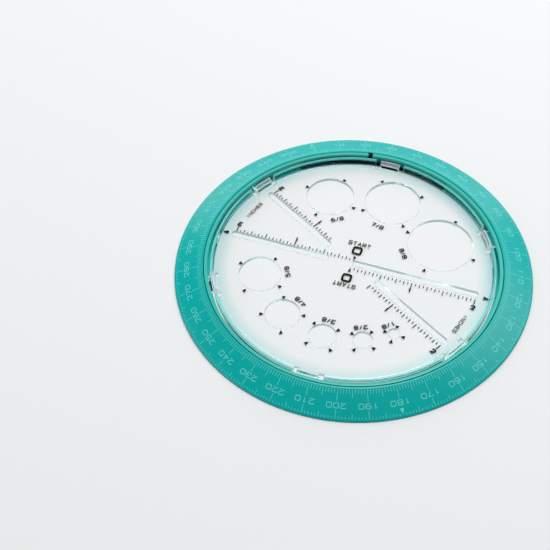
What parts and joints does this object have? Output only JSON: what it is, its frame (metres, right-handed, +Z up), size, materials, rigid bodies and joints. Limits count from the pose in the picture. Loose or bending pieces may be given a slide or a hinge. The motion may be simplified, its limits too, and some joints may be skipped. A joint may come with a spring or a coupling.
{
  "type": "drawing compass",
  "caption": "Flat rotating-disc drawing compass: degree-marked protractor ring with a clear snap-in template disc, slotted for circles and arcs, that turns freely in it.",
  "frame": {"origin": "centre of the ring on the surface it lies on", "axes": "+Z up along the disc's turning axis, +Y towards the ring's 0 degree graduation, so that readings run clockwise seen from above"},
  "size_m": [0.144, 0.144, 0.0049],
  "materials": {
    "scale_ring": "satin moulded teal plastic",
    "retaining_ring": "satin moulded green-teal plastic",
    "template_disc": "clear polished plastic with black print"
  },
  "bodies": {
    "ring": {"scale_ring": "scale_ring", "retaining_ring": "retaining_ring"},
    "disc": {"template_disc": "template_disc"}
  },
  "joints": [
    {"name": "disc_spin", "type": "hinge", "parent": "ring", "child": "disc", "pos_m": [0, 0, 0], "axis": [0, 0, 1], "continuous": true}
  ]
}
